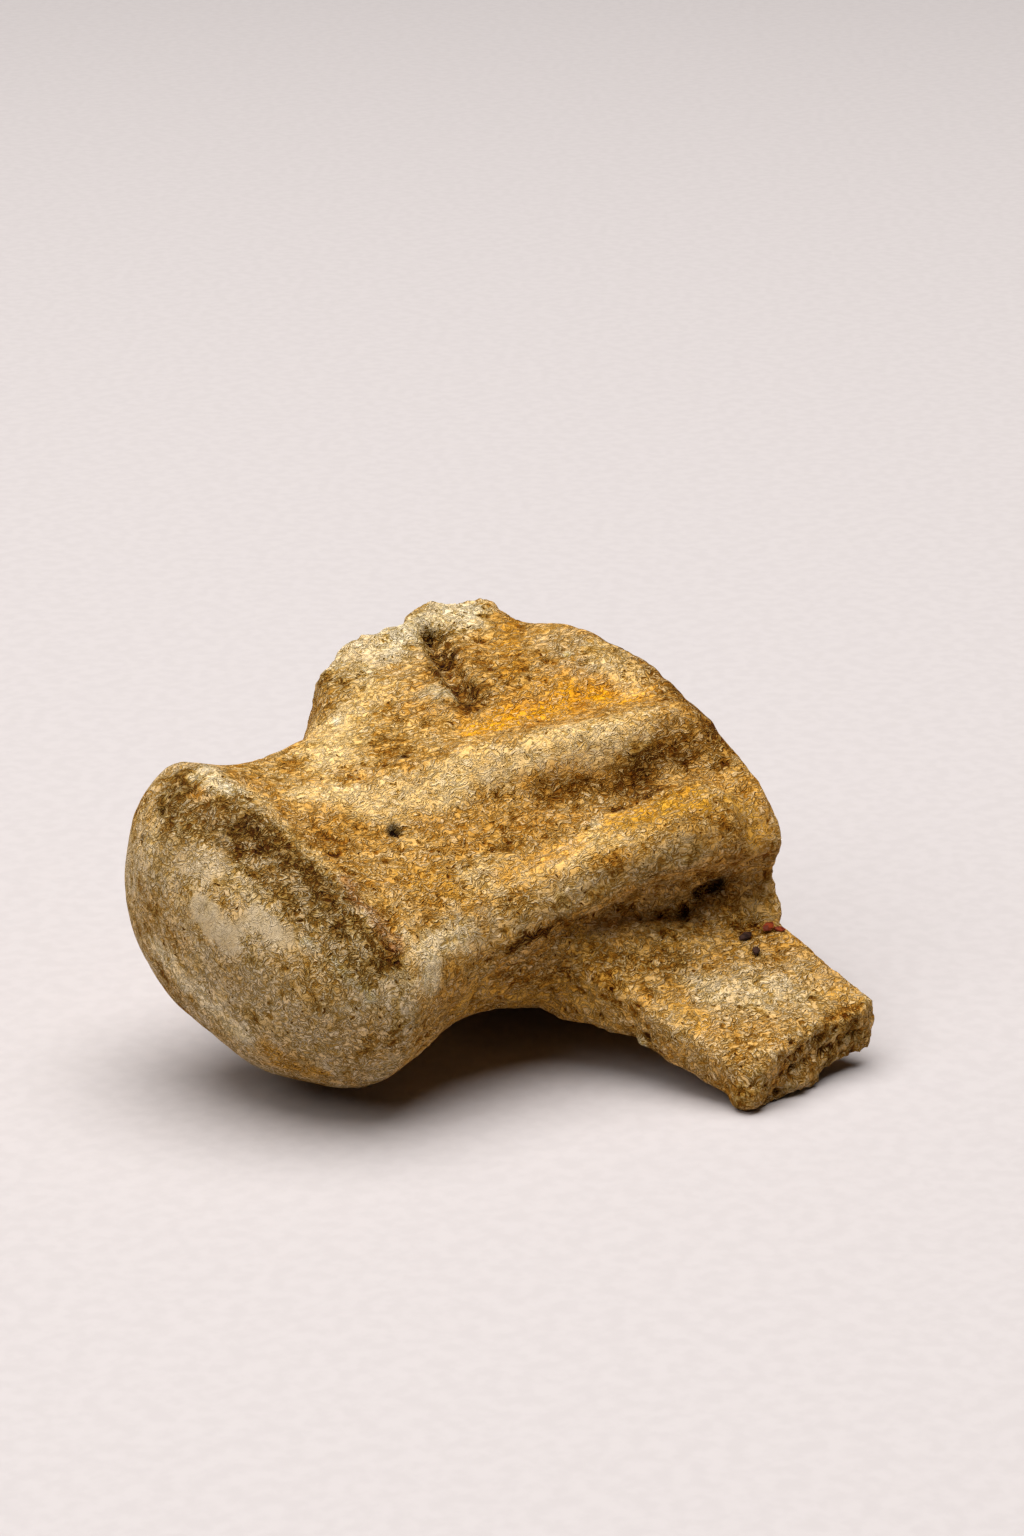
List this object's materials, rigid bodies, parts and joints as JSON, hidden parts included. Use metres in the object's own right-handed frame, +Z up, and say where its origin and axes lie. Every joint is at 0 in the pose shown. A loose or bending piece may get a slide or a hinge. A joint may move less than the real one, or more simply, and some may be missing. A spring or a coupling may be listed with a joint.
{
  "type": "fossil mosasaur vertebra",
  "caption": "Single fossil vertebra of a mosasaur, lying belly side up: a domed end, a cupped end, side processes broken short and stumps of the arch.",
  "frame": {"origin": "middle of the bounding box's base, on the floor that the bone rests on", "axes": "+Z up from the floor. +X from the domed end (condyle) towards the cupped end (cotyle), 4 degrees off the bone's own axis. The animal's left side, with the longer side process, faces -Y"},
  "size_m": [0.075, 0.0758, 0.0461],
  "materials": {
    "fossil_bone": "matt, finely pitted fossil bone, cream to ochre with dark brown in the hollows"
  },
  "bodies": {
    "root": {"vertebra": "fossil_bone"}
  },
  "joints": []
}
